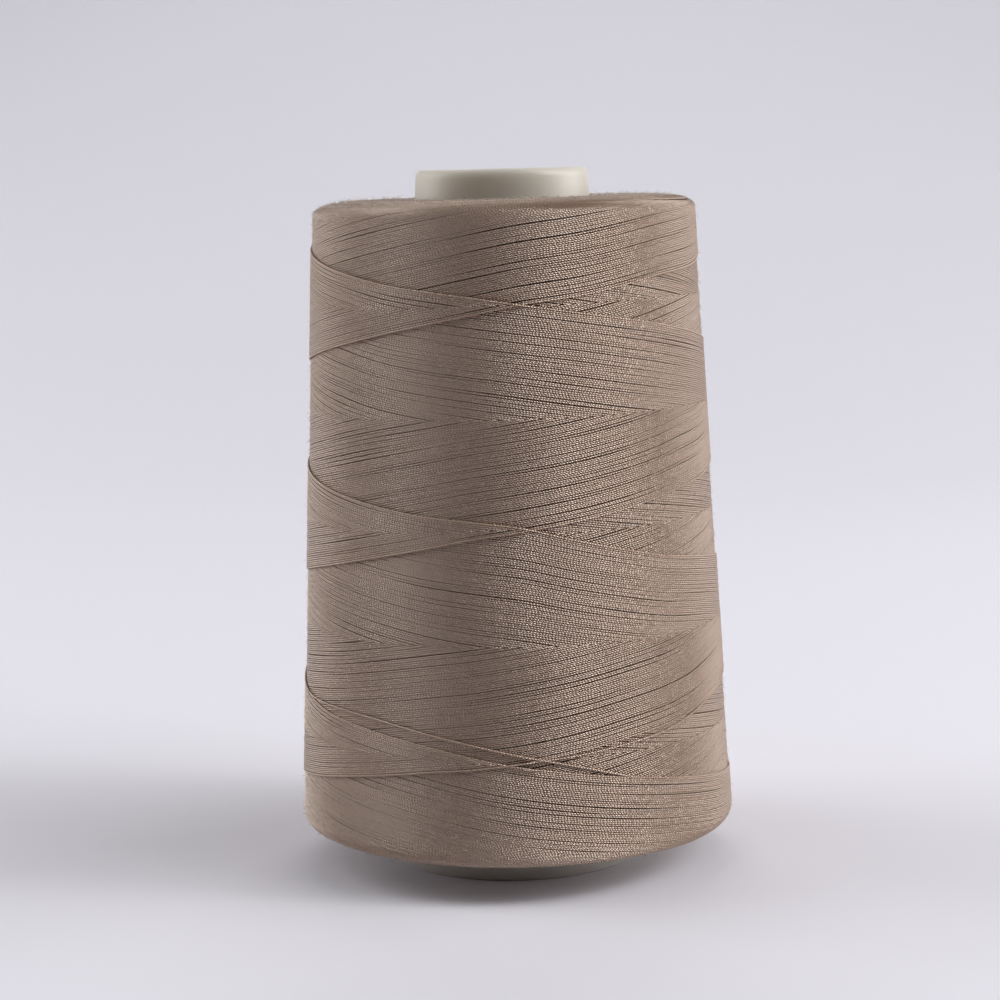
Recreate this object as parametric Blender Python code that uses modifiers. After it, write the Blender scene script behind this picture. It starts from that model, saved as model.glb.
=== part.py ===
"""Cone of sewing thread: a moulded plastic cone with spun thread cross-wound on it.

The part stands on the cone's foot at z = 0, with its axis on Z. The side that is
shown most faces -Y. Azimuths are turned from there towards +X.
"""
import math

import bmesh
import bpy

MM = 0.001

# Moulded plastic cone
HEIGHT = 125 * MM
CONE_SLOPE = math.tan(math.radians(3.5))
NOSE_RADIUS = 15.4 * MM
WALL = 1.6 * MM
NOSE_ROUND = 0.8 * MM
FOOT_CHAMFER = 0.3 * MM
CONE_STEPS = 72

# Wound thread
WOUND_BOTTOM = 6.7 * MM
WOUND_TOP = 119.9 * MM
WOUND_RADIUS = 39.5 * MM          # at the top of the bottom shoulder
WOUND_SLOPE = math.tan(math.radians(2.75))
BOTTOM_SHOULDER = (1.8 * MM, 2.2 * MM)   # how far it goes in, and how far up
TOP_SHOULDER = (7.0 * MM, 2.4 * MM)
SHOULDER_STEPS = 4
CLEARANCE = 0.3 * MM

# Cross winding: the last thread laid goes up and down the package in helices that
# meet at one azimuth, and each older layer of its family lies one shift further on
PITCH = 38.4 * MM                 # climb of the thread in one turn
CROSSING_HEIGHT = 25.5 * MM       # lowest crossing on the side that is shown
CROSSING_AZIMUTH = math.radians(4)
GRID_STEPS = 48                   # columns in a turn, and rows in a pitch
BAND_RISE = 0.3 * MM              # from the oldest thread on show to the newest
STRAND_RISE = 0.3 * MM            # of the last thread laid, above its band

PLASTIC_COLOUR = (0.72, 0.70, 0.63, 1.0)
THREAD_COLOUR = (0.36, 0.28, 0.235, 1.0)

ROW = PITCH / GRID_STEPS


def clear_scene():
    """Remove everything that a new Blender file starts with."""
    for thing in list(bpy.data.objects):
        bpy.data.objects.remove(thing, do_unlink=True)


def material(name, colour, roughness):
    """A Principled material with one colour."""
    made = bpy.data.materials.new(name)
    made.use_nodes = True
    shader = made.node_tree.nodes["Principled BSDF"]
    shader.inputs["Base Color"].default_value = colour
    shader.inputs["Roughness"].default_value = roughness
    shader.inputs["Metallic"].default_value = 0.0
    return made


def cone_radius(height):
    """Outer radius of the plastic cone at a height."""
    return NOSE_RADIUS + (HEIGHT - height) * CONE_SLOPE


def side_radius(height):
    """Mean radius of the wound thread's side at a height."""
    return WOUND_RADIUS - (height - WOUND_BOTTOM - BOTTOM_SHOULDER[1]) * WOUND_SLOPE


def arc(centre, reach, start, end, steps):
    """Points of a quarter ellipse in the (radius, height) plane, ends included."""
    points = []
    for step in range(steps + 1):
        turn = math.radians(start + (end - start) * step / steps)
        points.append((centre[0] + reach[0] * math.cos(turn),
                       centre[1] + reach[1] * math.sin(turn)))
    return points


def turned(name, profile, azimuth, steps, collection):
    """Turn a closed (radius, height) profile about Z, starting at an azimuth."""
    angle = azimuth - math.pi / 2
    count = len(profile)
    points = [(r * math.cos(angle), r * math.sin(angle), z) for r, z in profile]
    edges = [(i, (i + 1) % count) for i in range(count)]
    mesh = bpy.data.meshes.new(name)
    mesh.from_pydata(points, edges, [])
    made = bpy.data.objects.new(name, mesh)
    collection.objects.link(made)
    screw = made.modifiers.new("turn", "SCREW")
    screw.axis = "Z"
    screw.angle = math.tau
    screw.steps = steps
    screw.render_steps = steps
    screw.use_merge_vertices = False
    screw.use_smooth_shade = True
    return made


def plastic_cone(collection):
    """The hollow cone: straight tapered wall, rounded nose, flat foot ring."""
    nose = HEIGHT - NOSE_ROUND
    round_off = (NOSE_ROUND, NOSE_ROUND)
    outer_nose = arc((cone_radius(nose) - NOSE_ROUND, nose), round_off, 90, 0, 4)
    inner_nose = arc((cone_radius(nose) - WALL + NOSE_ROUND, nose), round_off, 180, 90, 4)
    foot_outer = cone_radius(0)
    foot_inner = foot_outer - WALL
    profile = outer_nose + [
        (cone_radius(FOOT_CHAMFER), FOOT_CHAMFER),
        (foot_outer - FOOT_CHAMFER, 0),
        (foot_inner + FOOT_CHAMFER, 0),
        (foot_inner, FOOT_CHAMFER),
    ] + inner_nose[:-1]
    return turned("plastic_cone", profile, 0, CONE_STEPS, collection)


def side_heights():
    """Heights of the winding grid's rows on the straight side, from the top down."""
    lowest = math.ceil((WOUND_BOTTOM + BOTTOM_SHOULDER[1] - CROSSING_HEIGHT) / ROW)
    highest = math.floor((WOUND_TOP - TOP_SHOULDER[1] - CROSSING_HEIGHT) / ROW)
    return [CROSSING_HEIGHT + row * ROW for row in range(highest, lowest - 1, -1)]


def bore_radius(height):
    """Radius of the bore's corners, so that its flats stay clear of the cone."""
    return (cone_radius(height) + CLEARANCE) / math.cos(math.pi / GRID_STEPS)


def wound_profile():
    """Outline of the wound thread, down its side and back up its bore."""
    top = WOUND_TOP - TOP_SHOULDER[1]
    bottom = WOUND_BOTTOM + BOTTOM_SHOULDER[1]
    upper = arc((side_radius(top) - TOP_SHOULDER[0], top), TOP_SHOULDER, 90, 0, SHOULDER_STEPS)
    lower = arc((side_radius(bottom) - BOTTOM_SHOULDER[0], bottom), BOTTOM_SHOULDER,
                0, -90, SHOULDER_STEPS)
    side = [(side_radius(height), height) for height in side_heights()]
    bore = [(bore_radius(WOUND_BOTTOM), WOUND_BOTTOM), (bore_radius(WOUND_TOP), WOUND_TOP)]
    return upper[:-1] + side + lower[1:] + bore


def winding_steps(point):
    """Grid steps from a point to the newest rising and falling threads, 0 on them."""
    azimuth = math.atan2(point.x, -point.y) - CROSSING_AZIMUTH
    column = round(azimuth / math.tau * GRID_STEPS)
    row = round((point.z - CROSSING_HEIGHT) / ROW)
    return (row - column) % GRID_STEPS, (-row - column) % GRID_STEPS


def raise_winding(mesh):
    """Raise the bands of the cross winding and its newest thread in the points."""
    heights = side_heights()
    shape = bmesh.new()
    shape.from_mesh(mesh)
    steps_of = {}
    for vertex in shape.verts:
        if heights[-1] - ROW / 2 < vertex.co.z < heights[0] + ROW / 2:
            steps_of[vertex] = winding_steps(vertex.co)
    crease_along_thread(shape, steps_of)
    for vertex, steps in steps_of.items():
        rise = sum(BAND_RISE * (0.5 - step / GRID_STEPS) for step in steps)
        if 0 in steps:
            rise += STRAND_RISE
        radius = math.hypot(vertex.co.x, vertex.co.y)
        vertex.co.x *= 1 + rise / radius
        vertex.co.y *= 1 + rise / radius
    shape.to_mesh(mesh)
    shape.free()


def crease_along_thread(shape, steps_of):
    """Split the faces beside the newest threads into triangles that run along them."""
    for face in list(shape.faces):
        corners = list(face.verts)
        if not all(corner in steps_of for corner in corners):
            continue
        for family in (0, 1):
            if all(steps_of[corner][family] for corner in corners):
                continue
            for a, b in ((corners[0], corners[2]), (corners[1], corners[3])):
                if steps_of[a][family] == steps_of[b][family]:
                    bmesh.utils.face_split(face, a, b)
            break


def wound_thread(collection):
    """The thread package: one turned body with its winding raised on the side."""
    pattern = turned("wound_outline", wound_profile(), CROSSING_AZIMUTH, GRID_STEPS, collection)
    evaluated = pattern.evaluated_get(bpy.context.evaluated_depsgraph_get())
    mesh = bpy.data.meshes.new_from_object(evaluated)
    bpy.data.objects.remove(pattern, do_unlink=True)
    mesh.name = "wound_thread"
    raise_winding(mesh)
    made = bpy.data.objects.new("wound_thread", mesh)
    collection.objects.link(made)
    return made


def build():
    """Make both pieces and give them their materials."""
    clear_scene()
    collection = bpy.data.collections.new("cone_of_thread")
    bpy.context.scene.collection.children.link(collection)
    cone = plastic_cone(collection)
    cone.data.materials.append(material("moulded_polypropylene", PLASTIC_COLOUR, 0.45))
    thread = wound_thread(collection)
    thread.data.materials.append(material("spun_polyester_thread", THREAD_COLOUR, 0.85))


build()
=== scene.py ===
# %% [markdown]
# # A cone of sewing thread
#
# A cone of sewing thread is two things: a hollow plastic cone, and some kilometres of
# plied thread wound on it in crossing helices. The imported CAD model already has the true
# sizes of both. This script gives them their looks. It keeps the CAD model as a fixed
# frame, lays every visible turn of thread as real geometry on the package, moulds the
# plastic cone, and sets the light of a pale studio table.
#
# A pattern of thread on a plain tapered body would be quicker. It would look flat at the
# outline, though, where a real package shows its rows, its steps and its down.

import math

import bpy
import numpy as np
from mathutils import Matrix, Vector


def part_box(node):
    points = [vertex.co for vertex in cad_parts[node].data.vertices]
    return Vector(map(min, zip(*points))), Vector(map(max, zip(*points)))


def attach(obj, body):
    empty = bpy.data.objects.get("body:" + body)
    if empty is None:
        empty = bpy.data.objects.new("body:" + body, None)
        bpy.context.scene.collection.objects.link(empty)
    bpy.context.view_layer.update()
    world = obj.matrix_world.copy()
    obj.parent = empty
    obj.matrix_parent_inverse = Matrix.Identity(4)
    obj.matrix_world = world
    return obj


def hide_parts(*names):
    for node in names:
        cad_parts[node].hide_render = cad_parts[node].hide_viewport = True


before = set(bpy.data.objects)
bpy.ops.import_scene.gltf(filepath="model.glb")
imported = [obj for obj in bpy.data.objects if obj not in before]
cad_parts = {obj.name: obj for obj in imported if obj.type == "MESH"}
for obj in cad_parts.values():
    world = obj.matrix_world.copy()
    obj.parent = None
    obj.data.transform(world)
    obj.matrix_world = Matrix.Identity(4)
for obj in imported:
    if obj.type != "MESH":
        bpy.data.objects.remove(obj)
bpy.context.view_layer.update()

# %% [markdown]
# ## The sizes that drive everything
#
# A package is known by a few numbers: the taper of its cone, the taper of its side, how
# its shoulders round off, and how far the thread climbs in a turn. They could be read off
# the CAD mesh, but named sizes say what they mean. So only the heights come from the CAD
# nodes' boxes, and the rest repeats the driving sizes of the part's source, in metres.
# Thread lies 0.345 mm apart on the package, a spacing that was measured across the turns.

# %% Sizes
MM = 0.001
wound_low, wound_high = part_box("wound_thread")
_, cone_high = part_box("plastic_cone")

WOUND_BOTTOM = wound_low.z
WOUND_TOP = wound_high.z
CONE_HEIGHT = cone_high.z
CONE_SLOPE = math.tan(math.radians(3.5))
NOSE_RADIUS = 15.4 * MM           # of the plastic cone, outside
CONE_WALL = 1.6 * MM              # its thickness
CLEARANCE = 0.3 * MM              # between the cone and the thread's bore

SIDE_RADIUS = 39.5 * MM           # of the package, where its side begins
SIDE_SLOPE = math.tan(math.radians(2.75))
BOTTOM_SHOULDER_IN = 1.8 * MM     # how far a shoulder goes in from the side
BOTTOM_SHOULDER_UP = 2.2 * MM     # and how far up
TOP_SHOULDER_IN = 7.0 * MM
TOP_SHOULDER_UP = 2.4 * MM
SIDE_LOW = WOUND_BOTTOM + BOTTOM_SHOULDER_UP
SIDE_HIGH = WOUND_TOP - TOP_SHOULDER_UP

THREAD = 0.345 * MM               # width of one thread as it lies on the package
PITCH = 38.4 * MM                 # climb of the thread in one turn
CROSSING_HEIGHT = 25.5 * MM       # lowest crossing of the newest threads at the front
CROSSING_AZIMUTH = 4.0            # degrees from the front towards +X
BAND_RISE = 0.3 * MM              # from the oldest thread on show to the newest
STROKE_LOW, STROKE_HIGH = -0.5, 2.5    # ends of a stroke, in pitches above the low crossing


def cone_radius(height):
    """Outer radius of the plastic cone at a height."""
    return NOSE_RADIUS + (CONE_HEIGHT - height) * CONE_SLOPE


def side_radius(height):
    """Mean radius of the package's side at a height."""
    return SIDE_RADIUS - (height - SIDE_LOW) * SIDE_SLOPE


print("package", round((WOUND_TOP - WOUND_BOTTOM) / MM, 1), "mm long on a cone of",
      round(CONE_HEIGHT / MM, 1), "mm")

# %% [markdown]
# ## The camera
#
# The photograph was taken with a long lens, level with the top of the cone, so the
# package looks almost like its own side view. The camera looks down by less than eight
# degrees and leans a little to one side, as a hand-set tripod does. A Track To constraint
# would aim it, but it would keep the camera upright. Three plain turns give the lean too.

# %% Camera
CAMERA_PLACE = (0.0, -439.3 * MM, 125.0 * MM)
LOOK_DOWN = 7.779                 # degrees, as are the next two
LEAN = 1.437
TURN = 0.228
SENSOR_WIDTH = 36                 # mm, of a full-frame camera
FOCAL_LENGTH = 87.363             # mm

bpy.ops.object.select_all(action="DESELECT")
bpy.ops.object.camera_add()
camera = bpy.context.object
camera.name = "camera"
camera.data.sensor_width = SENSOR_WIDTH
camera.data.lens = FOCAL_LENGTH
camera.matrix_world = (Matrix.Translation(CAMERA_PLACE)
                       @ Matrix.Rotation(math.radians(TURN), 4, "Z")
                       @ Matrix.Rotation(math.radians(90 - LOOK_DOWN), 4, "X")
                       @ Matrix.Rotation(math.radians(-LEAN), 4, "Z"))
bpy.context.scene.camera = camera
print("camera stands", round(-CAMERA_PLACE[1] / MM), "mm in front of the axis")

# %% [markdown]
# ## One outline for the whole package
#
# The thread lies on one continuous surface: under the package, round the bottom
# shoulder, up the side, round the flatter top shoulder and across the top. It is written
# once, as a table of radius and height against a *station*, the distance along the
# outline. On the side a station is simply the height, so the winding can be worked out
# there in pitches and then carried round the shoulders without a break. Threads could be
# shrink-wrapped onto a turned body instead, but a formula keeps their spacing even.
#
# A package is never quite true. This one sits a hair off its cone's axis, and its foot
# sags to one side, so both are added to every point.

# %% The outline of the package
SHOULDER_POINTS = 25
SIDE_POINTS = 40


def outline():
    """Columns of station, radius and height, from the bottom bore over the side to the top."""
    low, high = side_radius(SIDE_LOW), side_radius(SIDE_HIGH)
    quarter = np.linspace(0, math.pi / 2, SHOULDER_POINTS)
    foot_bore = cone_radius(WOUND_BOTTOM) + CLEARANCE
    nose_bore = cone_radius(WOUND_TOP) + CLEARANCE
    points = [(foot_bore, WOUND_BOTTOM)]
    points += [(low - BOTTOM_SHOULDER_IN * (1 - math.cos(t)),
                SIDE_LOW - BOTTOM_SHOULDER_UP * math.sin(t)) for t in quarter[::-1]]
    points += [(side_radius(z), z) for z in np.linspace(SIDE_LOW, SIDE_HIGH, SIDE_POINTS)[1:]]
    points += [(high - TOP_SHOULDER_IN * (1 - math.cos(t)),
                SIDE_HIGH + TOP_SHOULDER_UP * math.sin(t)) for t in quarter[1:]]
    points += [(nose_bore, WOUND_TOP)]
    radius, height = np.array(points).T
    steps = np.hypot(np.diff(radius), np.diff(height))
    station = np.concatenate([[0], np.cumsum(steps)])
    side = slice(SHOULDER_POINTS, SHOULDER_POINTS + SIDE_POINTS)
    station += SIDE_LOW - station[side][0]
    station[side.stop:] += SIDE_HIGH - station[side][-1]
    station[side] = height[side]
    return station, radius, height


STATION, RADIUS, HEIGHT = outline()
print("outline runs from station", round(STATION[0] / MM, 1),
      "to", round(STATION[-1] / MM, 1), "mm")

# %% A point on the package
SLOPE_REACH = 0.2 * MM            # either way along the outline, to read its slope
OFF_AXIS = 0.09 * MM              # of the package on its cone, towards +X
FOOT_SAG = 0.25 * MM              # of the package's foot, down at +X and up at -X
SAG_HEIGHT = 22 * MM              # over which the sag fades out


def on_package(azimuth, station, lift):
    """Points and outward normals on the package, lifted along the normal. Azimuth in turns."""
    station = np.clip(station, STATION[0], STATION[-1])      # a hair may reach past the bore's edge
    radius = np.interp(station, STATION, RADIUS)
    height = np.interp(station, STATION, HEIGHT)
    ahead, behind = station + SLOPE_REACH, station - SLOPE_REACH
    run = np.interp(ahead, STATION, RADIUS) - np.interp(behind, STATION, RADIUS)
    rise = np.interp(ahead, STATION, HEIGHT) - np.interp(behind, STATION, HEIGHT)
    length = np.hypot(run, rise)
    out, up = rise / length, -run / length
    turn = azimuth * math.tau + math.radians(CROSSING_AZIMUTH)
    across = np.stack([np.sin(turn), -np.cos(turn), np.zeros_like(turn)], -1)
    upward = np.array([0.0, 0.0, 1.0])
    normal = out[:, None] * across + up[:, None] * upward
    point = radius[:, None] * across + height[:, None] * upward + lift[:, None] * normal
    point[:, 0] += OFF_AXIS
    low_share = np.clip(1 - (height - SIDE_LOW) / SAG_HEIGHT, 0, 1)
    point[:, 2] -= FOOT_SAG * np.sin(turn) * low_share
    return point, normal


crossing, _ = on_package(np.zeros(1), np.array([CROSSING_HEIGHT]), np.zeros(1))
print("the lowest crossing at the front is at", (crossing[0] / MM).round(1), "mm")

# %% [markdown]
# ## Thread as geometry
#
# One thread could be a curve with a bevel. Here thousands of stretches show, and so many
# curves are slow to make and hard to give a tone each. So a thread is a closed tube with
# few sides, laid as rings along its path, and all threads of a family share one mesh that
# is built from arrays. Each ring has one corner on top, pointing away from the package,
# and smooth shading does the rest. The UV map follows the thread: U is the distance along
# it in millimetres, and V goes once round it, which is what twisted plies need. The
# attribute *tone* makes one thread a little paler or darker than the next.

# %% A bundle of threads
class Bundle:
    """Collects threads or hairs as arrays and turns them into one mesh object."""

    def __init__(self, sides):
        self.sides = sides
        self.points = []
        self.faces = []
        self.uvs = []
        self.tones = []
        self.count = 0

    def add(self, path, normal, half_width, half_height, tone, start=0.0):
        """Lay one closed tube along a path, with its flat caps at both ends."""
        rings, sides = len(path), self.sides
        tangent = np.gradient(path, axis=0)
        tangent /= np.linalg.norm(tangent, axis=1)[:, None]
        beside = np.cross(tangent, normal)
        beside /= np.linalg.norm(beside, axis=1)[:, None]
        over = np.cross(beside, tangent)
        corner = np.arange(sides) * math.tau / sides
        width = np.broadcast_to(half_width, rings)[:, None, None]
        height = np.broadcast_to(half_height, rings)[:, None, None]
        ring = (height * np.cos(corner)[None, :, None] * over[:, None, :]
                + width * np.sin(corner)[None, :, None] * beside[:, None, :])
        self.points.append((path[:, None, :] + ring).reshape(-1, 3))
        self.wrap(rings, path, start)
        self.cap(rings)
        self.tones.append(np.full(rings * sides, tone))
        self.count += rings * sides

    def wrap(self, rings, path, start):
        """Quads between the rings, with U along the thread in mm and V round it."""
        sides = self.sides
        step = np.linalg.norm(np.diff(path, axis=0), axis=1)
        travelled = np.concatenate([[0], np.cumsum(step)]) / MM + start
        corner = np.arange(sides)
        here = self.count + np.arange(rings - 1)[:, None] * sides + corner
        beside = self.count + np.arange(rings - 1)[:, None] * sides + (corner + 1) % sides
        self.faces.append(np.stack([here, beside, beside + sides, here + sides], -1).reshape(-1, 4))
        u = np.stack([travelled[:-1], travelled[:-1], travelled[1:], travelled[1:]], -1)
        v = np.stack([corner, corner + 1, corner + 1, corner], -1) / sides
        u = np.repeat(u, sides, axis=0)
        v = np.tile(v, (rings - 1, 1))
        self.uvs.append(np.stack([u, v], -1).reshape(-1, 2))

    def cap(self, rings):
        """Close both ends with quads that fan out from the first corner."""
        sides = self.sides
        fan = [(0, k, k + 1, k + 2) for k in range(1, sides - 2, 2)]
        last = self.count + (rings - 1) * sides
        quads = ([[self.count + k for k in quad[::-1]] for quad in fan]
                 + [[last + k for k in quad] for quad in fan])
        self.faces.append(np.array(quads))
        self.uvs.append(np.zeros((4 * len(quads), 2)))

    def build(self, name):
        """Make the mesh object, shaded smooth, with its UV map and tone attribute."""
        faces = np.concatenate(self.faces)
        mesh = bpy.data.meshes.new(name)
        mesh.from_pydata(np.concatenate(self.points).tolist(), [], faces.tolist())
        uv = mesh.uv_layers.new(name="along_thread")
        uv.data.foreach_set("uv", np.concatenate(self.uvs).astype(np.float32).ravel())
        tone = mesh.attributes.new("tone", "FLOAT", "POINT")
        tone.data.foreach_set("value", np.concatenate(self.tones).astype(np.float32))
        mesh.shade_smooth()
        made = bpy.data.objects.new(name, mesh)
        bpy.context.scene.collection.objects.link(made)
        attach(made, "root")
        print(name, "has", 2 * len(faces), "triangles")
        return made


# %% [markdown]
# ## Where each thread shows
#
# The winder lays one thread up the package and down again, three turns each way, and
# each cycle starts a little behind the last. So at any point two ages matter: how long
# ago a rising thread passed, and how long ago a falling one did. Both run from 0, just
# laid, to 1, about to be covered, and the younger family is the one on top.
#
# Every layer could be laid in full, the hidden ones too, but they would be millions of
# faces that nobody sees. Ages make that needless, because they say what shows.
#
# With azimuth and height in turns and pitches from a crossing of the newest threads, a
# rising thread of age *a* follows height = azimuth + a, and the ages of the falling
# threads that it meets run down from 1 to 0 twice in each turn. It shows where they are
# older than itself, which gives each visible stretch in closed form. Falling threads are
# its mirror image. The lozenges and bands of a real package come out by themselves.
#
# No guide moves quite evenly, so a band wavers by up to two millimetres. Short tables say
# how far it strays at a few places, a smooth curve joins them, and older threads stray less.

# %% How the thread strays from an even winding
# Height in mm above the even path, at degrees from the front, at each level of crossings
RISING_STRAYS = (
    ((-64, 0.15), (-46, 0.5), (-33, 0.55), (-22, 0.6), (-13, 0.2), (1, -0.1), (16, -0.2),
     (29, -0.1), (43, -0.6), (53, -0.7), (66, -0.1)),
    ((-79, -0.6), (-59, -0.3), (-25, 0.5), (-12, 1.0), (0, 0.8), (20, 0.45), (55, 0.3), (67, -0.2)),
    ((-76, -0.9), (-54, -0.6), (-35, -0.3), (4, 0.3), (21, -0.4), (47, -0.5), (72, -1.8)),
)
FALLING_STRAYS = (
    ((-76, -1.8), (-58, -1.5), (-42, -1.0), (-30, -0.8), (-17, -0.9), (-4, -1.35), (31, -1.7),
     (66, -2.1)),
    ((-78, -0.6), (-45, -0.3), (-25, 0.0), (-10, 0.8), (3, 1.2), (15, 0.2), (29, -0.6), (46, -1.4)),
    ((-33, -0.6), (-10, 0.0), (41, 0.4)),
)
# The very last thread leaves its band at the lowest level of crossings
LAST_RISING = ((-64, 0.15), (-46, 0.5), (-33, 0.55), (-22, 0.6), (-13, 0.2), (1, -0.1), (16, -0.8),
               (29, -1.2), (43, -1.7), (53, -1.3), (66, -0.4))
LAST_FALLING = ((-74, -1.6), (-54, 0.4), (-39, 1.5), (-26, 1.5), (-12, 1.2), (1, 0.6), (13, 0.0),
                (21, -0.6), (31, -1.6), (42, -1.8), (66, -2.1))
SMOOTHING = 8                     # degrees on either side that a sample is averaged over
EVEN_BEYOND = 130                 # degrees from the front, past which a band runs evenly


def stray_curve(table):
    """A sample a degree of a smooth closed curve through a table, level at the back."""
    degrees = np.arange(-180, 180)
    known = ((-180, 0), (-EVEN_BEYOND, 0)) + table + ((EVEN_BEYOND, 0), (180, 0))
    raw = np.interp(degrees, *zip(*known))
    weights = np.hanning(2 * SMOOTHING + 1)
    closed = np.concatenate([raw[-SMOOTHING:], raw, raw[:SMOOTHING]])
    return np.convolve(closed, weights / weights.sum(), "valid") * MM


BAND_CURVES = {1: [stray_curve(table) for table in RISING_STRAYS],
               -1: [stray_curve(table) for table in FALLING_STRAYS]}
LAST_CURVES = {1: [stray_curve(LAST_RISING)] + BAND_CURVES[1][1:],
               -1: [stray_curve(LAST_FALLING)] + BAND_CURVES[-1][1:]}
print("bands stray by up to",
      round(max(np.abs(curve).max() for way in (1, -1) for curve in BAND_CURVES[way]) / MM, 1), "mm")

# %% How far one thread strays
def level_of_crossings(way, azimuth, level, age):
    """Turns from the front, and the number of the crossing whose thread this is."""
    from_front = (azimuth + 0.5) % 1 - 0.5
    return from_front, np.round(level - way * (from_front + age)).astype(int)


def stray(curves, way, azimuth, level, age):
    """How far a thread of one way and age lies above its even path."""
    from_front, number = level_of_crossings(way, azimuth, level, age)
    number = np.clip(number, 0, 2)
    degree = from_front * 360 + CROSSING_AZIMUTH + 180
    low = np.floor(degree).astype(int)
    part = degree - low
    samples = np.array(curves[way])
    even = samples[number, low % 360] * (1 - part) + samples[number, (low + 1) % 360] * part
    return even * (1 - age)


one_stray = stray(BAND_CURVES, 1, np.zeros(1), np.zeros(1), 0.0)
print("at the lowest crossing the rising band strays", (one_stray / MM).round(2), "mm")

# %% [markdown]
# ## Gaps between the rows
#
# Rows of thread should lie side by side, but here and there one slips and a gap opens
# beside it, a fine dark line that runs on for a good part of a turn. Random offsets for
# every thread would give an even fuzz of small gaps. The real ones are few, and each
# belongs to one row, so each gap has an age, a width, and a wave that opens and closes it.
# The clear ones at the front stand where they are on the real package, fine ones are
# strewn between them, and the back has gaps of its own.
#
# A gap is made by moving threads, not by leaving one out: all younger rows shift one way
# and all older ones the other, by a share that keeps the band as wide as before.

# %% Gaps between neighbouring threads
# Ages, in hundredths, at which a gap shows at the front, by way and level of crossings
FRONT_GAPS = {
    (1, -1): (70, 88),
    (1, 0): (8, 17, 31, 53, 57, 63, 74, 81, 87, 92),
    (1, 1): (10, 17, 23, 26, 38, 45, 49, 53, 56, 63, 76, 81, 92),
    (1, 2): (8, 16, 27, 35, 47, 60),
    (-1, 0): (8, 15, 18, 26, 37, 51),
    (-1, 1): (22, 31, 49, 53, 58, 61, 75, 82, 86, 91),
    (-1, 2): (6, 28, 35, 41, 46, 52, 56, 59, 64, 74, 77, 80, 90),
    (-1, 3): (58, 75, 78, 81, 84, 89, 93),
}
THREADS_A_PITCH = 104
GAP_WIDTH = (0.11 * MM, 0.16 * MM)     # narrowest and widest
FINE_GAP_WIDTH = (0.06 * MM, 0.13 * MM)
WIDE_GAPS, FINE_GAPS = 10, 20     # in a band
LEVELS = range(-3, 7)             # numbers of the levels of crossings, past both ends too
chance = np.random.default_rng(11)


def gap_rows(wide_ages):
    """Age, width, and how the width waxes and wanes round the package, of each gap."""
    fine_ages = (np.arange(FINE_GAPS) + chance.uniform(0.1, 0.9, FINE_GAPS)) / FINE_GAPS
    ages = np.concatenate([wide_ages, fine_ages])
    width = np.concatenate([chance.uniform(*GAP_WIDTH, len(wide_ages)),
                            chance.uniform(*FINE_GAP_WIDTH, FINE_GAPS)])
    rows, first = np.unique(np.floor(ages * THREADS_A_PITCH), return_index=True)
    return ((rows + 0.5) / THREADS_A_PITCH, width[first], chance.uniform(2, 6, len(rows)),
            chance.uniform(0, 1, len(rows)))


GAPS = {}
for way in (1, -1):
    for number in LEVELS:
        hundredths = FRONT_GAPS.get((way, number), chance.integers(3, 98, WIDE_GAPS))
        GAPS["front", way, number] = gap_rows(np.array(hundredths) / 100)
        GAPS["back", way, number] = gap_rows(chance.uniform(0.03, 0.98, WIDE_GAPS))
print("gaps are set for", len(GAPS), "stretches of band")

# %% How the gaps move a thread
USUAL_OPENING, WAXING = 0.75, 0.55     # share of a gap's width that is usual, and that comes and goes
CLOSING, CLOSED = 0.155, 0.195    # turns from the front, where gaps begin to close and have closed
CLOSED_SHARE = 0.75               # of a gap's width that closes there
FRONT_END, BACK_BEGIN = 0.28, 0.38     # turns, where the front's gaps give way to the back's


def opened(side, way, number, azimuth, age):
    """How far the gaps on one side of the package push a thread of one age aside."""
    ages, width, waves, phase = GAPS[side, way, number]
    wave = np.sin(math.tau * (waves * azimuth[:, None] + phase))
    wax = np.clip(USUAL_OPENING + WAXING * wave, 0, 1)
    return (width * wax * ((ages < age) - age)).sum(1)


def spread(way, azimuth, level, age):
    """Sideways shift of a thread by all the gaps, along its way, blended round the package."""
    from_front, number = level_of_crossings(way, azimuth, level, age)
    _, number_behind = level_of_crossings(way, azimuth + 0.5, level + 0.5 * way, age)
    in_front = np.clip((BACK_BEGIN - np.abs(from_front)) / (BACK_BEGIN - FRONT_END), 0, 1)
    shift = np.zeros_like(azimuth)
    for side, which, share in (("front", number, in_front), ("back", number_behind, 1 - in_front)):
        for one in np.unique(which[share > 0]):
            here = (which == one) & (share > 0)
            shift[here] += share[here] * opened(side, way, int(one), azimuth[here], age)
    closed = np.clip((np.abs(from_front) - CLOSING) / (CLOSED - CLOSING), 0, 1)
    return way * shift * (1 - CLOSED_SHARE * closed)


one_shift = spread(1, np.zeros(1), np.full(1, 0.5), 0.5)
print("half-way up the lowest band the gaps shift its thread", (one_shift / MM).round(2), "mm")

# %% [markdown]
# ## The turn at both ends
#
# At each end of a stroke the guide stops and runs back, so the thread levels off and
# turns round in a soft arc on the shoulder of the package. An arc of a circle could be
# fitted between the two helices. A square root of squares does the same in one line: it
# is level at the turn and becomes the straight helix away from it. A second one takes
# back what the first still adds further on, so that the bands stay where they were.

# %% Paths of the threads
TURN_SOFTNESS = 5.0 * MM          # over which a thread levels off
RECOVERY = 2.2 * TURN_SOFTNESS    # over which it is back on its helix
OVERRUN = 2.96 * MM               # how far past its end an even stroke runs before it turns
LOW_TURN = CROSSING_HEIGHT + STROKE_LOW * PITCH - OVERRUN
HIGH_TURN = CROSSING_HEIGHT + STROKE_HIGH * PITCH + OVERRUN


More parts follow.
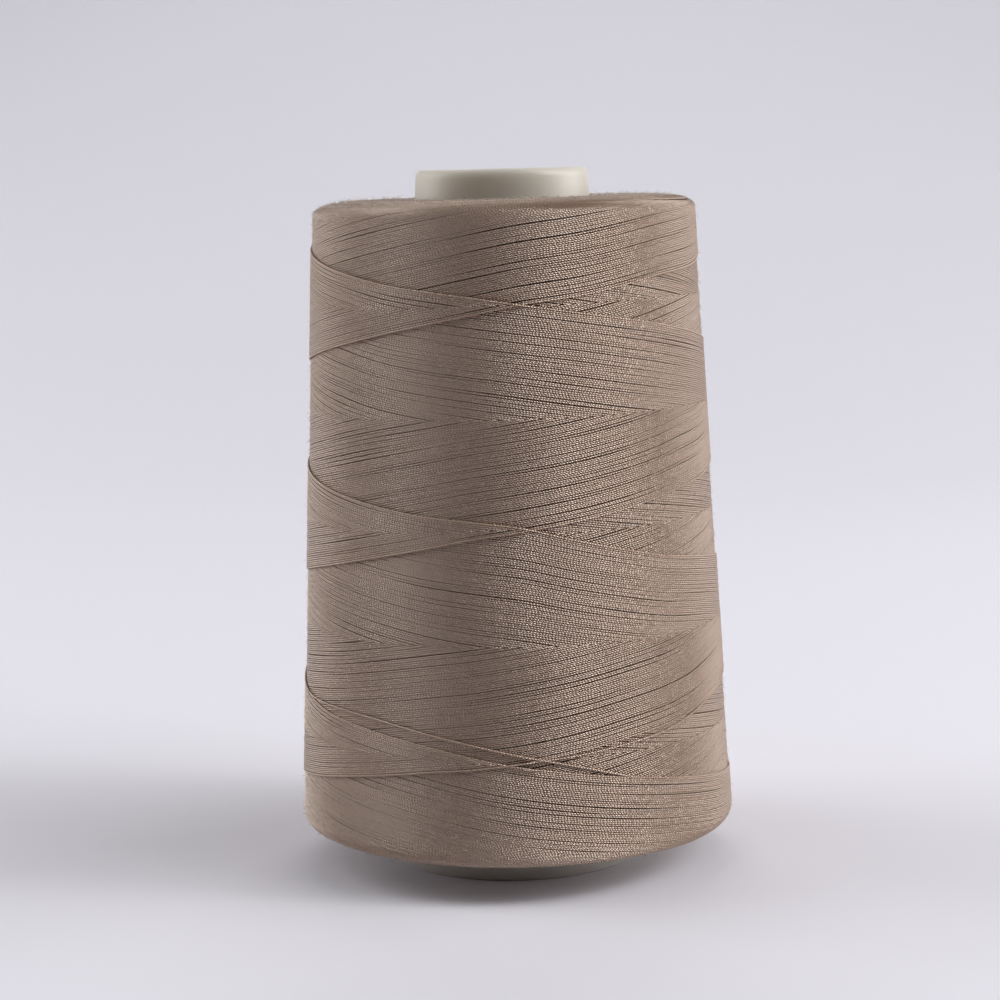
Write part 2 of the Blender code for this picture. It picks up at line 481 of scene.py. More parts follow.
def eased(distance):
    """Distance from a turn: rounded off near it, and even further away."""
    rounded = np.sqrt(distance ** 2 + TURN_SOFTNESS ** 2)
    return rounded - TURN_SOFTNESS ** 2 / (2 * np.sqrt(distance ** 2 + RECOVERY ** 2))


def turned_back(level):
    """Station of a level in pitches, where the traverse turns smoothly back at both ends."""
    station = CROSSING_HEIGHT + level * PITCH
    low_end = LOW_TURN + eased(station - LOW_TURN)
    high_end = HIGH_TURN - eased(HIGH_TURN - station)
    return np.where(level < 1, low_end, high_end)


END_COVER = 0.7 * MM              # of the turns over the rings of the end faces
LOW_EDGE = LOW_TURN + eased(0) + END_COVER
HIGH_EDGE = HIGH_TURN - eased(0) - END_COVER
print("threads turn round at stations", round(LOW_EDGE / MM, 1),
      "and", round(HIGH_EDGE / MM, 1), "mm")

# %% [markdown]
# ## Two families of thread
#
# Each of the 103 ages of a family is one thread, and it shows in stretches: it comes out
# from under the other family, runs in the open, and goes under a younger cover. A stretch
# could simply stop there, but its cut end would show. So the tube runs on for a little
# way and dives below its cover, as the real thread does. A thread rises with its band by
# 0.3 mm from the oldest on show to the newest, which gives the package its fine steps. It
# is pressed wider than high, and wanders a little in its row, because spun thread is soft.

# %% The stretches that show
SHORTEST = 0.002                  # turns, under which a stretch is left out
BRANCHES = range(-3, 6)           # pitches to the other turns of one thread, past both ends too


def visible_stretches(way, age):
    """Start, end, where it came up, and branch of each stretch of a thread that shows."""
    for visit in range(2):
        emerges = -(visit + age) / 2
        covered = emerges + (1 - age) / 2
        for branch in BRANCHES:
            first = way * (emerges + age) + branch
            last = way * (covered + age) + branch
            early = STROKE_LOW - first if way > 0 else first - STROKE_HIGH
            late = last - STROKE_HIGH if way > 0 else STROKE_LOW - last
            before = max(0, early - OVERRUN / PITCH)
            after = max(0, late - OVERRUN / PITCH)
            if emerges + before < covered - after - SHORTEST:
                yield emerges + before, covered - after, emerges, branch


def shifted(way, azimuth, level, age):
    """How far a thread lies above its even path, by its band's stray and by the gaps."""
    return stray(BAND_CURVES, way, azimuth, level, age) + spread(way, azimuth, level, age)


def moved_meeting(way, azimuth, branch, age, other_age):
    """Azimuth where a thread meets one of the other family, when both are shifted."""
    place = np.array([azimuth])
    level = way * (place + age) + branch
    apart = shifted(-way, place, level, other_age) - shifted(way, place, level, age)
    return azimuth + way * float(apart[0]) / (2 * PITCH)


print("a rising thread of middle age shows in", len(list(visible_stretches(1, 0.5))), "stretches")

# %% Lay one family of threads
ROUND = SIDE_RADIUS * math.tau    # length of one turn
RING_STEP = 1 / 76                # turns between two rings of a thread
DIVE = 2.6 * MM / ROUND           # turns over which a thread sinks under its cover
DIVE_DEPTH = 0.5 * MM
LAP = 0.9 * MM / ROUND            # turns that it runs level under its cover first
VALLEY = 0.2 * MM / ROUND         # turns by which it sinks early where both families meet
PROUD = 0.05 * MM                 # of the threads' backs over the mean surface
HALF_WIDE, HALF_HIGH = 0.56 * THREAD, 0.42 * THREAD
SIDEWAYS = 0.018 * MM             # how much each thread wanders in its row
WANDER_WAVES = (2, 3, 7)          # waves of that in a turn
UPS_AND_DOWNS = 0.02 * MM         # how much it rises and sinks on what lies below it
UP_WAVES = 5


def lay_thread(bundle, way, age, sway, tone):
    """Lay every visible stretch of one thread."""
    for begin, end, emerges, branch in visible_stretches(way, age):
        if begin == emerges:
            begin = moved_meeting(way, begin, branch, age, 0.0) - LAP
        if end == emerges + (1 - age) / 2:
            end = moved_meeting(way, end, branch, age, age) - VALLEY
        if end - begin < SHORTEST:
            continue
        rings = max(2, round((end - begin) / RING_STEP) + 1)
        azimuth = np.concatenate([[begin - DIVE], np.linspace(begin, end, rings), [end + DIVE]])
        level = way * (azimuth + age) + branch
        wander = sum(np.sin(math.tau * (wave * azimuth + shift))
                     for wave, shift in zip(WANDER_WAVES, sway))
        sideways = shifted(way, azimuth, level, age) + SIDEWAYS * wander
        cover_age = np.clip(1 - 2 * (azimuth - emerges), 0, 1)
        hidden = np.maximum(np.maximum(begin - azimuth, azimuth - end), 0) / DIVE
        lift = (BAND_RISE * (1 - age - cover_age) - HALF_HIGH + PROUD - DIVE_DEPTH * hidden
                + UPS_AND_DOWNS * np.sin(math.tau * (UP_WAVES * azimuth + sway[0])))
        path, normal = on_package(azimuth, turned_back(level) + sideways, lift)
        bundle.add(path, normal, HALF_WIDE, HALF_HIGH, tone, chance.uniform(0, 50))


def lay_family(name, way):
    """Lay all the rising (1) or falling (-1) threads as one piece."""
    bundle = Bundle(6)
    for age in np.arange(1, THREADS_A_PITCH) / THREADS_A_PITCH:
        lay_thread(bundle, way, age, chance.uniform(0, 1, 3), chance.normal())
    return bundle.build(name)


thread_rising = lay_family("thread_rising", 1)
thread_falling = lay_family("thread_falling", -1)

# %% [markdown]
# ## The last thread
#
# The last thread laid shows whole. It runs up three turns and down three turns on top
# of all the others, catches the light, and drops a fine shadow. It could be one more row
# of its family, but then it would lie as deep as they do. So it is a tube of its own,
# rounder and with finer rings, proud of its band at the front and snug at the back. Where
# the falling thread meets the rising one it climbs over it. At the lowest level it has
# left its band, so the last but one is laid there as well.

# %% The last thread, up and down once more
LAST_STEP = 1 / 240               # turns between two of its rings
LAST_PROUD = 0.13 * MM            # of its band, at the front
LAST_PAINTED_LIGHT = 6.0                   # painted light: drawn paler than its neighbours, for the light that its raised sides catch with no row beside it
LAST_HALF_WIDE, LAST_HALF_HIGH = 0.53 * THREAD, 0.5 * THREAD
CLIMB = 0.7 * THREAD              # over the rising thread
CLIMB_LENGTH = 1.6 * MM           # either side of it
SINK_LENGTH = 4 * MM              # over which an end sinks into the package
CHANGE_OVER = 1 / 6               # turns at the top, from the rising stray to the falling one
UP_TURNS = STROKE_HIGH - STROKE_LOW


def lay_last(bundle, begin, end, curves, proud, sink):
    """Lay a stretch of the last cycle, measured in turns from its lowest point."""
    travelled = np.linspace(begin, end, round((end - begin) / LAST_STEP) + 1)
    azimuth = travelled + STROKE_LOW
    falls = travelled > UP_TURNS
    level = np.where(falls, STROKE_HIGH - (travelled - UP_TURNS), STROKE_LOW + travelled)
    share = np.clip((travelled - UP_TURNS) / CHANGE_OVER + 0.5, 0, 1)
    sideways = (stray(curves, 1, azimuth, level, 0.0) * (1 - share)
                + stray(curves, -1, azimuth, level, 0.0) * share)
    since_crossing = (2 * azimuth) % 1
    from_crossing = np.minimum(since_crossing, 1 - since_crossing) * math.pi * SIDE_RADIUS
    loose = 0.5 + 0.5 * np.cos(math.tau * azimuth)
    lift = BAND_RISE * since_crossing - THREAD / 2 + proud * loose
    lift += np.where(falls, CLIMB, 0) * np.exp(-(from_crossing / CLIMB_LENGTH) ** 2)
    ends = np.minimum(travelled - begin, end - travelled) * ROUND
    lift -= sink * np.exp(-ends / SINK_LENGTH)
    path, normal = on_package(azimuth, turned_back(level) + sideways, lift)
    bundle.add(path, normal, LAST_HALF_WIDE, LAST_HALF_HIGH, LAST_PAINTED_LIGHT)


RISING_BESIDE = (0.3, 0.72)       # turns between which the last but one shows beside the last
FALLING_BESIDE = (5.28, 5.62)

last = Bundle(8)
lay_last(last, -0.01, 2 * UP_TURNS + 0.01, LAST_CURVES, LAST_PROUD, 0.4 * MM)
lay_last(last, *RISING_BESIDE, BAND_CURVES, 0.0, 0.2 * MM)
lay_last(last, *FALLING_BESIDE, BAND_CURVES, 0.04 * MM, 0.2 * MM)
thread_last = last.build("thread_last")

# %% [markdown]
# ## Both end faces
#
# Past the turns the ends of older layers show as fine rings, each made of long shallow
# arcs that slip under one another. Their own windings could be worked out layer by layer,
# but only their turns show. So every ring gets a few arcs. Both ends of an arc swing a
# little outwards and sink, so that they lap under the next one.

# %% The end faces
END_SPACING = 0.35 * MM           # between two rings
END_DEPTH = 0.08 * MM             # of the rings' backs below the outline
ARC_LAP = 0.02                    # turns that an arc runs on under the next
SHORTEST_ARC = 0.04               # turns
ARC_SWING = (0.1, 0.5)            # mm that the ends of an arc swing outwards
ARC_WANDER = 0.05 * MM            # of an arc in its ring
ARC_SINK = (0.0, 0.09)            # mm that a whole arc lies deeper
ARC_DIVE = 0.45 * MM              # that its two ends go down


def lay_end(name, first, last_station):
    """Rings of arcs from one station to another."""
    bundle = Bundle(6)
    rings = round(abs(last_station - first) / END_SPACING)
    inward = 1 if first < last_station else -1
    for station in np.linspace(first, last_station, rings + 1):
        arcs = chance.integers(3, 6)
        begins = np.sort(chance.uniform(0, 1, arcs))
        for begin, end in zip(begins, np.append(begins[1:], begins[0] + 1)):
            if end - begin < SHORTEST_ARC:
                continue
            count = max(5, round((end - begin + 2 * ARC_LAP) / RING_STEP) + 1)
            azimuth = np.linspace(begin - ARC_LAP, end + ARC_LAP, count)
            middle = (azimuth - (begin + end) / 2) / ((end - begin) / 2 + ARC_LAP)
            swing = -inward * chance.uniform(*ARC_SWING) * MM * middle ** 4
            wander = ARC_WANDER * np.sin(math.tau * (3 * azimuth + chance.uniform()))
            sink = chance.uniform(*ARC_SINK) * MM + ARC_DIVE * np.abs(middle) ** 10
            lift = -THREAD / 2 - END_DEPTH - sink
            path, normal = on_package(azimuth, station + swing + wander, lift)
            bundle.add(path, normal, HALF_WIDE, HALF_HIGH, chance.normal(), chance.uniform(0, 50))
    return bundle.build(name)


BORE_MARGIN = 0.4 * MM            # between the last ring and the bore
thread_foot_end = lay_end("thread_foot_end", LOW_EDGE, STATION[0] + BORE_MARGIN)
thread_nose_end = lay_end("thread_nose_end", HIGH_EDGE, STATION[-1] - BORE_MARGIN)

# %% [markdown]
# ## The down of loose fibre
#
# Spun thread is made of cut fibres a few centimetres long, so their ends stand out as
# a fine down, most of all on the two shoulders. Blender's hair would draw it, but hair is
# no mesh and is lost when a part is exported. So each fibre is a thin tube with three
# rings, bent into a low arch that runs mostly round the package. A real one is only
# 0.015 mm thick, a tenth of a pixel. It is drawn 0.04 mm thick, fewer times, and
# see-through, which gives the eye the same haze.

# %% The down of loose fibre
HAIR = 0.02 * MM                  # half the thickness that a hair is drawn with
KNOT = 0.06 * MM                  # half the thickness of a knot of loose fibre
LOW_LOFT, HIGH_LOFT = 0.12 * MM, 0.204 * MM    # usual height of a hair's arch
TALLEST = 4                       # times that, at most
ROOT_DEPTH = 0.08 * MM            # of a hair's root below the outline
HEADING_SPREAD = 0.5              # radians away from level, usually
BEND_SPREAD = 0.25                # mm sideways, usually
ARCH = (1.4, 2.9)                 # radians of a sine that an arch goes through
# Stations between which fibre stands: the whole package, and each of its shoulders
WHOLE = (STATION[0] + 2 * MM, STATION[-1] - 2 * MM)
NOSE_SHOULDER = (SIDE_HIGH - 2 * MM, STATION[-1] - 6 * MM)
FOOT_SHOULDER = (STATION[0] + 10 * MM, SIDE_LOW + 1.5 * MM)


def lay_hairs(bundle, count, half_thickness, lengths, stations, loft):
    """Curved fibre ends between two stations of the package, most of them lying low."""
    along = np.linspace(0, 1, 3)
    for _ in range(count):
        station = chance.uniform(*stations)
        azimuth = chance.uniform()
        length = chance.uniform(*lengths)
        heading = chance.normal(0, HEADING_SPREAD) + (math.pi if chance.random() < 0.5 else 0)
        height = min(chance.exponential(loft), TALLEST * loft)
        bend = chance.normal(0, BEND_SPREAD) * MM
        run = length * along * math.cos(heading)
        rise = length * along * math.sin(heading) + bend * along ** 2
        radius = np.interp(station, STATION, RADIUS)
        lift = -ROOT_DEPTH + height * np.sin(along * chance.uniform(*ARCH))
        path, normal = on_package(azimuth + run / (math.tau * radius), station + rise, lift)
        taper = half_thickness * (1.15 - along)      # down to a fine tip
        bundle.add(path, normal, taper, taper, 0.0)


fuzz = Bundle(4)
lay_hairs(fuzz, 9000, HAIR, (0.5 * MM, 2.4 * MM), WHOLE, LOW_LOFT)
lay_hairs(fuzz, 500, KNOT, (0.25 * MM, 0.6 * MM), WHOLE, LOW_LOFT)
thread_fuzz = fuzz.build("thread_fuzz")

down = Bundle(4)
lay_hairs(down, 5500, HAIR, (0.6 * MM, 2.6 * MM), WHOLE, HIGH_LOFT)
lay_hairs(down, 2600, HAIR, (0.6 * MM, 2.2 * MM), NOSE_SHOULDER, HIGH_LOFT)
lay_hairs(down, 1400, HAIR, (0.6 * MM, 2.2 * MM), FOOT_SHOULDER, HIGH_LOFT)
thread_down = down.build("thread_down")

# %% [markdown]
# ## The body under the thread
#
# Between two threads the eye looks down on older layers in deep shade. They could be
# threads too, but no more of them shows than their colour, so one plain turned body
# stands for all of them, coloured a dark brown that is painted shade. It is modelled as a
# ring that is extruded and scaled along the outline, station by station. Its first and
# last rings are then bridged along the bore, which closes it. A Screw modifier would turn
# it as well, but the same few steps, done by hand, also make the plastic cone.

# %% A turned body, ring by ring
def extrude_rings(name, rings, corners):
    """A closed turned body: a circle extruded and scaled from ring to ring, then bridged."""
    first_radius, first_height = rings[0]
    bpy.ops.object.select_all(action="DESELECT")
    bpy.ops.mesh.primitive_circle_add(vertices=corners, radius=first_radius,
                                      location=(0, 0, first_height))
    made = bpy.context.object
    made.name = name
    bpy.ops.object.transform_apply(location=True, rotation=True, scale=True)
    bpy.ops.object.mode_set(mode="EDIT")
    bpy.ops.mesh.select_all(action="SELECT")
    for (radius, height), (next_radius, next_height) in zip(rings, rings[1:]):
        climb = (0, 0, next_height - height)
        bpy.ops.mesh.extrude_region_move(TRANSFORM_OT_translate={"value": climb})
        grow = next_radius / radius
        bpy.ops.transform.resize(value=(grow, grow, 1), center_override=(0, 0, next_height))
    bpy.ops.object.mode_set(mode="OBJECT")
    count = len(made.data.vertices)
    for vertex in made.data.vertices:
        vertex.select = vertex.index < corners or vertex.index >= count - corners
    for edge in made.data.edges:
        edge.select = all(made.data.vertices[v].select for v in edge.vertices)
    bpy.ops.object.mode_set(mode="EDIT")
    bpy.ops.mesh.select_mode(type="EDGE")
    bpy.ops.mesh.bridge_edge_loops()
    bpy.ops.mesh.select_all(action="SELECT")
    bpy.ops.mesh.normals_make_consistent(inside=False)
    bpy.ops.object.mode_set(mode="OBJECT")
    print(name, "has", len(made.data.polygons), "faces")
    return made


# %% The wound body under the threads
CORE_DEPTH = 0.75 * MM            # below the outline
CORE_CORNERS = 144
FLAT_END = STATION[-1] - 11.2 * MM     # where the top shoulder has run out to the flat top

core_stations = np.concatenate([
    [STATION[0] + 1 * MM],
    np.linspace(SIDE_LOW - 1.5 * BOTTOM_SHOULDER_UP, SIDE_LOW, 7),
    np.linspace(SIDE_LOW, SIDE_HIGH, 9)[1:],
    np.linspace(SIDE_HIGH, FLAT_END, 8)[1:],
    [STATION[-1] - 0.6 * MM]])
core_points, _ = on_package(np.zeros_like(core_stations), core_stations,
                            np.full_like(core_stations, -CORE_DEPTH))
core_rings = list(zip(np.hypot(core_points[:, 0], core_points[:, 1]), core_points[:, 2]))
thread_core = extrude_rings("thread_core", core_rings, CORE_CORNERS)
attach(thread_core, "root")
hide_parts("wound_thread")

# %% [markdown]
# ## The plastic cone
#
# The cone is injection moulded: a straight tapered wall with a rounded nose and a flat
# foot ring. The nose is rounded more outside than inside, so that thread slips over it,
# and to the eye that round is a pale lip. A cone primitive with Solidify would give the
# wall, but neither the lip nor the chamfers of the foot. So the outline of the wall is
# written once, up the outside, over the nose and down the inside, and extruded ring by
# ring.

# %% The plastic cone
CONE_CORNERS = 128
NOSE_IN, NOSE_DOWN = 1.0 * MM, 1.6 * MM        # round of the nose's outer edge
NOSE_DOWN_INSIDE = 0.8 * MM                    # and how far down its inner edge goes
EDGE_RING = 0.3 * MM                           # between a round and the ring that keeps it crisp
FOOT_CHAMFER = 0.3 * MM
WALL_LOW = 6 * MM                              # height of the wall's first plain ring


def wall_rings():
    """Radius and height round the wall's section: up the outside and down the inside."""
    outer, inner = CONE_HEIGHT - NOSE_DOWN, CONE_HEIGHT - NOSE_DOWN_INSIDE
    middle = cone_radius(outer) - NOSE_IN
    inside = cone_radius(inner) - CONE_WALL
    quarter = np.linspace(0, math.pi / 2, 6)
    foot = cone_radius(0)
    rings = [(foot - FOOT_CHAMFER, 0), (foot, FOOT_CHAMFER)]
    rings += [(cone_radius(z), z) for z in np.linspace(WALL_LOW, outer - EDGE_RING, 4)]
    rings += [(middle + NOSE_IN * math.cos(t), outer + NOSE_DOWN * math.sin(t)) for t in quarter]
    rings += [(middle - (middle - inside) * math.sin(t), inner + NOSE_DOWN_INSIDE * math.cos(t))
              for t in quarter[1:]]
    rings += [(cone_radius(z) - CONE_WALL, z) for z in np.linspace(inner - 3 * MM, WALL_LOW, 4)]
    rings += [(foot - CONE_WALL, FOOT_CHAMFER), (foot - CONE_WALL + FOOT_CHAMFER, 0)]
    return rings


cone_shell = extrude_rings("cone_shell", wall_rings(), CONE_CORNERS)
cone_shell.data.shade_smooth()
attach(cone_shell, "root")
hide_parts("plastic_cone")

# %% [markdown]
# ## Materials
#
# A material in Blender is a small graph of nodes that ends in a Principled shader. It
# could be clicked together in the Shader Editor. In a script, one helper that adds a node
# with its settings and links keeps the graph short enough to read. Colours are given as
# sRGB hex values, the way that a colour chart prints them. The shader wants linear light,
# so one function turns them.

# %% Helpers for materials
def sheet_colour(code):
    """Linear colour of an sRGB hex value."""
    parts = [int(code[k:k + 2], 16) / 255 for k in (1, 3, 5)]
    return tuple(p / 12.92 if p <= 0.04045 else ((p + 0.055) / 1.055) ** 2.4 for p in parts) + (1.0,)


def new_material(name, colour, roughness):
    """A node material with one Principled shader."""
    made = bpy.data.materials.new(name)
    made.use_nodes = True
    shader = made.node_tree.nodes["Principled BSDF"]
    shader.inputs["Base Color"].default_value = sheet_colour(colour)
    shader.inputs["Roughness"].default_value = roughness
    return made, shader


def node(material, kind, settings=None, **links):
    """Add a node with its settings, and set or link its inputs."""
    made = material.node_tree.nodes.new(kind)
    for name, value in (settings or {}).items():
        setattr(made, name, value)
    for name, value in links.items():
        by_number = name[1:].isdigit()
        socket = made.inputs[int(name[1:]) if by_number else name.replace("_", " ")]
        if isinstance(value, bpy.types.NodeSocket):
            material.node_tree.links.new(value, socket)
        else:
            socket.default_value = value
    return made


print("middle grey #777777 in linear light:", round(sheet_colour("#777777")[0], 3))

# %% [markdown]
# ## Spun polyester thread
#
# The thread is two plies of cut polyester fibre, twisted round each other once in about
# a millimetre. To the eye that is a row of short slanting grains, pale on each ply's back
# and dark in the groove between two. The plies could be tubes of their own, but that
# would be twice the faces for a relief as fine as a pixel. So a stripe that runs both
# along the thread (U) and round it (V) draws the grains and gives them their relief. The
# same stripe also paints shade into each groove and light onto each ply's back, in the
# colour. A little noise along the thread makes the twist as uneven as spun thread's is.
#
# A real thread is hairy, and rows that touch close up. Smooth tubes leave a deep valley
# between them instead, which gets light from the sides. So the *flank* of each thread is
# darkened in its colour, a painted shade for the rows' contact. The fine filaments shine
# like silk where they run square to the light, so the thread reflects more than one smooth
# face of polyester would. Its IOR is matched to that shine, above the 1.6 of plain polyester.

# %% The stripe of two plies
PLY_LEAD = 1.08                   # mm along the thread for one turn of its two plies
TWIST_NOISE = 0.55                # waves of unevenness in a mm
TWIST_SHIFT = 0.5                 # mm that they move the plies along the thread


def ply_stripe(finish, uv):
    """Sockets from 0 to 0.5: groove to back of a ply, and back to underside of the thread."""
    apart = node(finish, "ShaderNodeSeparateXYZ", Vector=uv)
    unevenness = node(finish, "ShaderNodeTexNoise", {"noise_dimensions": "1D"},
                      W=apart.outputs["X"], Scale=TWIST_NOISE, Detail=2.0, Roughness=0.7)
    lead = node(finish, "ShaderNodeMath", {"operation": "MULTIPLY_ADD"},
                i0=unevenness.outputs["Fac"], i1=TWIST_SHIFT, i2=apart.outputs["X"])
    turn = node(finish, "ShaderNodeMath", {"operation": "MULTIPLY"},
                i0=lead.outputs[0], i1=2 / PLY_LEAD)
    phase = node(finish, "ShaderNodeMath", {"operation": "MULTIPLY_ADD"},
                 i0=apart.outputs["Y"], i1=-2.0, i2=turn.outputs[0])
    ply = node(finish, "ShaderNodeMath", {"operation": "PINGPONG"}, i0=phase.outputs[0], i1=0.5)
    side = node(finish, "ShaderNodeMath", {"operation": "PINGPONG"}, i0=apart.outputs["Y"], i1=0.5)
    return ply.outputs[0], side.outputs[0]


print("a ply's back shows every", PLY_LEAD / 2, "mm")

# %% The finish of the thread
THREAD_COLOUR = "#8c6d58"         # dyed taupe, before the painted shade and light of its plies
PAINTED_GROOVE_SHARE, PAINTED_BACK_SHARE = 0.3, 1.25   # painted shade in a groove and painted light on a ply's back, as shares of that colour
PLY_RELIEF = 0.2 * MM             # deeper than the real groove, so that it shows at this size
FLANK_BEGIN, FLANK_FULL = 0.05, 0.25   # parts of the way round, where a flank's painted shade sets in and is full
TONE_STEP = 0.045                 # share of its colour by which threads usually differ
THREAD_IOR = 2.15
THREAD_TINT = (1.0, 0.85, 0.73, 1.0)   # of its shine, which the dyed fibre colours


def spun_finish(name, flank):
    """Thread whose flanks keep a share of their colour as painted shade beside the next row, or are
    painted paler without one.
    """
    finish, shader = new_material(name, THREAD_COLOUR, 0.3)
    uv = node(finish, "ShaderNodeUVMap", {"uv_map": "along_thread"})
    ply, side = ply_stripe(finish, uv.outputs["UV"])
    # painted shade in the ply grooves and painted light on the ply backs, multiplied into the colour
    painted_ply_shade = node(finish, "ShaderNodeMapRange", i0=ply, i2=0.5, i3=PAINTED_GROOVE_SHARE, i4=PAINTED_BACK_SHARE)
    # painted shade, darker from the top of each tube down its flanks
    painted_flank_shade = node(finish, "ShaderNodeMapRange", {"interpolation_type": "SMOOTHSTEP"},
                   i0=side, i1=FLANK_BEGIN, i2=FLANK_FULL, i3=1.0, i4=flank)
    # tone: random from thread to thread, and painted light on the last thread
    tone = node(finish, "ShaderNodeAttribute", {"attribute_name": "tone"})
    strand = node(finish, "ShaderNodeMath", {"operation": "MULTIPLY_ADD"},
                  i0=tone.outputs["Fac"], i1=TONE_STEP, i2=1.0)
    both = node(finish, "ShaderNodeMath", {"operation": "MULTIPLY"},
                i0=painted_ply_shade.outputs[0], i1=painted_flank_shade.outputs[0])
    value = node(finish, "ShaderNodeMath", {"operation": "MULTIPLY"},
                 i0=both.outputs[0], i1=strand.outputs[0])
    shade = node(finish, "ShaderNodeMix", {"data_type": "RGBA", "blend_type": "MULTIPLY"},
                 i0=1.0, i6=sheet_colour(THREAD_COLOUR), i7=value.outputs[0])
    bump = node(finish, "ShaderNodeBump", Height=ply, Distance=PLY_RELIEF, Strength=1.0)
    finish.node_tree.links.new(shade.outputs[2], shader.inputs["Base Color"])
    finish.node_tree.links.new(bump.outputs[0], shader.inputs["Normal"])
    shader.inputs["Specular IOR Level"].default_value = 1.0
    shader.inputs["IOR"].default_value = THREAD_IOR
    shader.inputs["Specular Tint"].default_value = THREAD_TINT
    return finish


FLANK_PAINTED_SHADE_SHARE = 0.5                # painted shade: share of its colour that a flank keeps beside the next row
FLANK_PAINTED_LIGHT_SHARE = 1.1                 # painted light: a flank paler than its colour where nothing lies beside it

thread_finish = spun_finish("spun_polyester_thread", FLANK_PAINTED_SHADE_SHARE)
for piece in (thread_rising, thread_falling, thread_foot_end, thread_nose_end):
    piece.data.materials.append(thread_finish)

# the last thread's own copy, with painted light on its flanks instead of painted shade
thread_last.data.materials.append(spun_finish("single_spun_thread_painted_light", FLANK_PAINTED_LIGHT_SHARE))
print("thread finishes:", thread_finish.name, "and", thread_last.active_material.name)

# %% [markdown]
# ## Loose fibre and shaded depths
#
# A loose fibre is the same polyester without its neighbours' shade, which the thread has as
# painted shade, so it looks much paler than the thread, and it hides little of what lies
# behind. A pattern of alpha could fray it, but at a quarter of a pixel a plain tube that
# lets two thirds of the view through is enough. The older layers are thread as well. Light
# hardly reaches them, so their body is painted a dark, dull brown: painted shade.

# %% Loose fibre and depths
fibre_finish, fibre_shader = new_material("loose_polyester_fibre", "#d2c3b4", 0.5)
fibre_shader.inputs["Alpha"].default_value = 0.35
for piece in (thread_fuzz, thread_down):
    piece.data.materials.append(fibre_finish)

# painted shade: the older layers are coloured dark brown for the shade they lie in
painted_shade_finish, _ = new_material("winding_painted_dark", "#6e5342", 0.9)
thread_core.data.materials.append(painted_shade_finish)
print("other thread finishes:", fibre_finish.name, "and", painted_shade_finish.name)

# %% [markdown]
# ## Moulded polypropylene
#
# The cone is natural polypropylene, injection moulded and neither dyed nor painted. The
# mould leaves a satin skin, and the plastic itself is milky: light goes in, spreads for a
# few millimetres and comes out again, so shadows on it are soft and its edges glow a
# little. White paint would be one flat colour. Subsurface scattering gives that milkiness,
# with red going slightly further than blue, as in all pale plastics. The wall is even and
# clean where it shows, so no pattern is drawn on it.

# %% Moulded polypropylene
plastic_finish, plastic_shader = new_material("moulded_polypropylene", "#c3beb5", 0.4)
plastic_shader.inputs["Subsurface Weight"].default_value = 1.0
plastic_shader.inputs["Subsurface Radius"].default_value = (1.0, 0.97, 0.93)
plastic_shader.inputs["Subsurface Scale"].default_value = 4 * MM
cone_shell.data.materials.append(plastic_finish)
print("plastic finish:", plastic_finish.name)

# %% [markdown]
# ## The table and its backdrop
#
# The cone stands on a sheet of matt white paper that curves up behind it, so no line
# parts floor and wall. Two planes would show a crease, and a bevel on it is easily too
# tight. So the back edge of one plane is spun up a quarter turn and then pulled up. Paper
# scatters light evenly and has no pattern that shows from here.

# %% Floor and backdrop
FLOOR_FRONT, FLOOR_BACK = -0.8, 0.5    # metres; the broad low lights stand past its sides
FLOOR_WIDTH = 1.7
SWEEP = 1.0                       # metres, radius of the curve behind
WALL_RISE = 1.5                   # metres of wall above the curve

bpy.ops.object.select_all(action="DESELECT")
bpy.ops.mesh.primitive_plane_add(size=1.0)
floor = bpy.context.object
floor.name = "floor"
bpy.ops.object.mode_set(mode="EDIT")
bpy.ops.transform.resize(value=(FLOOR_WIDTH, FLOOR_BACK - FLOOR_FRONT, 1))
bpy.ops.transform.translate(value=(0, (FLOOR_BACK + FLOOR_FRONT) / 2, 0))
bpy.ops.mesh.select_all(action="DESELECT")
bpy.ops.object.mode_set(mode="OBJECT")
for edge in floor.data.edges:
    edge.select = all(floor.data.vertices[v].co.y > FLOOR_BACK - 10 * MM for v in edge.vertices)
bpy.ops.object.mode_set(mode="EDIT")
bpy.ops.mesh.select_mode(type="EDGE")
bpy.ops.mesh.spin(steps=32, angle=math.radians(-90), center=(0, FLOOR_BACK, SWEEP), axis=(1, 0, 0))
bpy.ops.mesh.extrude_region_move(TRANSFORM_OT_translate={"value": (0, 0, WALL_RISE)})
bpy.ops.mesh.select_all(action="SELECT")
bpy.ops.mesh.normals_make_consistent(inside=False)
bpy.ops.object.mode_set(mode="OBJECT")
floor.data.shade_smooth()
floor_finish, _ = new_material("matt_paper", "#eceaf2", 0.8)
floor.data.materials.append(floor_finish)
print("floor spans", [round(v, 2) for v in floor.dimensions])

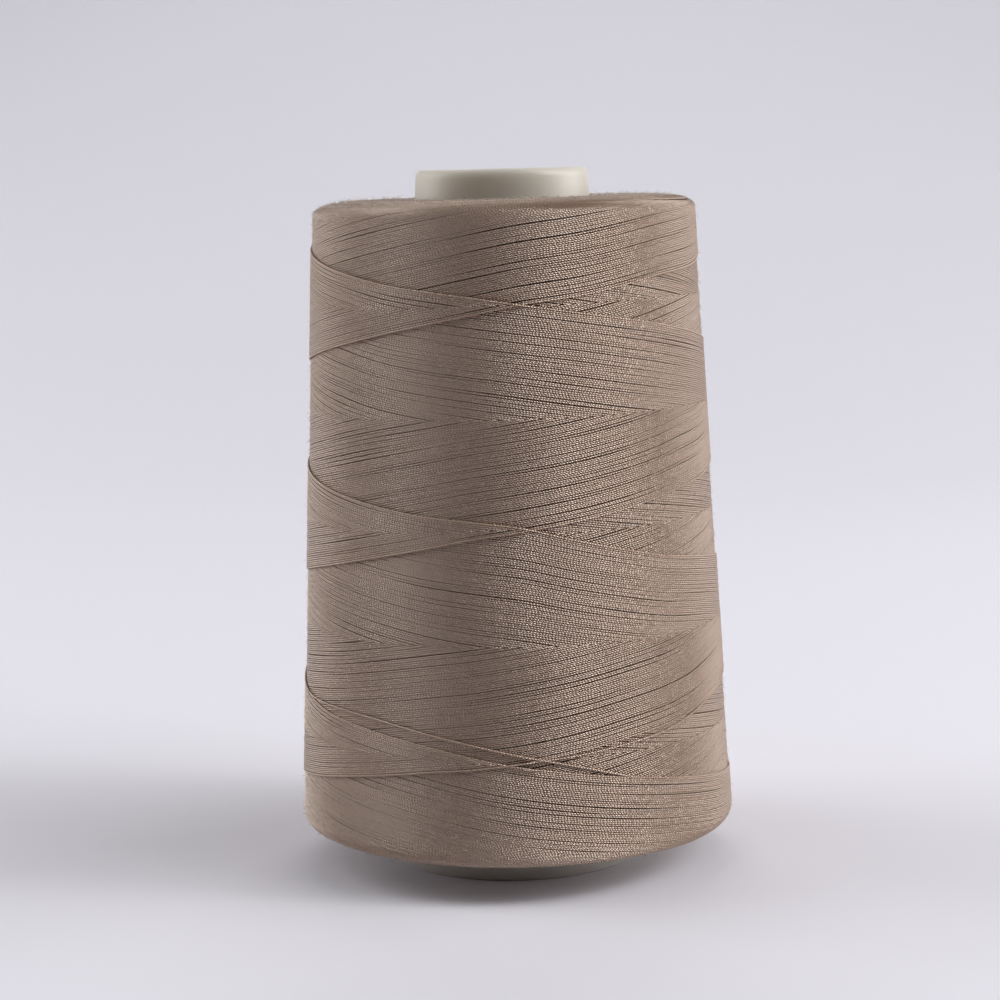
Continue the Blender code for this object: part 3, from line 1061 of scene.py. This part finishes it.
# %% [markdown]
# ## The light
#
# The photograph was lit by a broad window on the right and its pale bounce from the left,
# with the front left in shade: the side is bright at both edges and dark left of its
# middle. One large area light on each side comes close, but a window is no even square.
# So each side is built of a few soft squares at different heights and angles, whose power
# was balanced against the brightness across the side, the collar and the floor. The world
# around is pale to the camera alone and gives no light, so the other views have a plain
# background and the shade at the front stays.

# %% The air of the studio
world = bpy.data.worlds.new("studio")
world.use_nodes = True
studio_air = world.node_tree.nodes["Background"]
studio_air.inputs["Color"].default_value = sheet_colour("#dad9e0")
seen = world.node_tree.nodes.new("ShaderNodeLightPath")
world.node_tree.links.new(seen.outputs["Is Camera Ray"], studio_air.inputs["Strength"])
bpy.context.scene.world = world
bpy.context.scene.view_settings.view_transform = "Standard"
print("world:", world.name, "with the view", bpy.context.scene.view_settings.view_transform)

# %% Lights
AIM_HEIGHT = 60 * MM              # middle of the package, which every light looks at


def soft_light(name, azimuth, elevation, distance, size, power):
    """A square light at degrees from the front and above the table, in metres and watts."""
    turn, rise = math.radians(azimuth), math.radians(elevation)
    level = distance * math.cos(rise)
    height = AIM_HEIGHT + distance * math.sin(rise)
    place = (level * math.sin(turn), -level * math.cos(turn), height)
    bpy.ops.object.select_all(action="DESELECT")
    bpy.ops.object.light_add(type="AREA", location=place,
                             rotation=(math.radians(90) - rise, 0, turn))
    light = bpy.context.object
    light.name = name
    light.data.shape = "SQUARE"
    light.data.size = size
    light.data.energy = power


soft_light("window", 70, 35, 1.2, 0.7, 4.8)
soft_light("window_pane", 75, 35, 1.5, 0.3, 3.0)
soft_light("window_low", 85, 12, 1.2, 0.7, 3.95)
soft_light("window_back", 105, 12, 1.2, 0.7, 6.05)
soft_light("window_high", 55, 60, 1.2, 0.7, 2.0)
soft_light("bounce", -100, 12, 1.2, 0.7, 3.7)
soft_light("bounce_above", -100, 40, 1.2, 0.7, 2.2)
soft_light("bounce_back", -125, 12, 1.2, 0.7, 2.6)
soft_light("bounce_high", -60, 65, 1.3, 0.7, 1.45)
soft_light("bounce_near", -90, 25, 0.7, 0.5, 0.4)
soft_light("backdrop", 180, 45, 1.3, 0.8, 2.85)
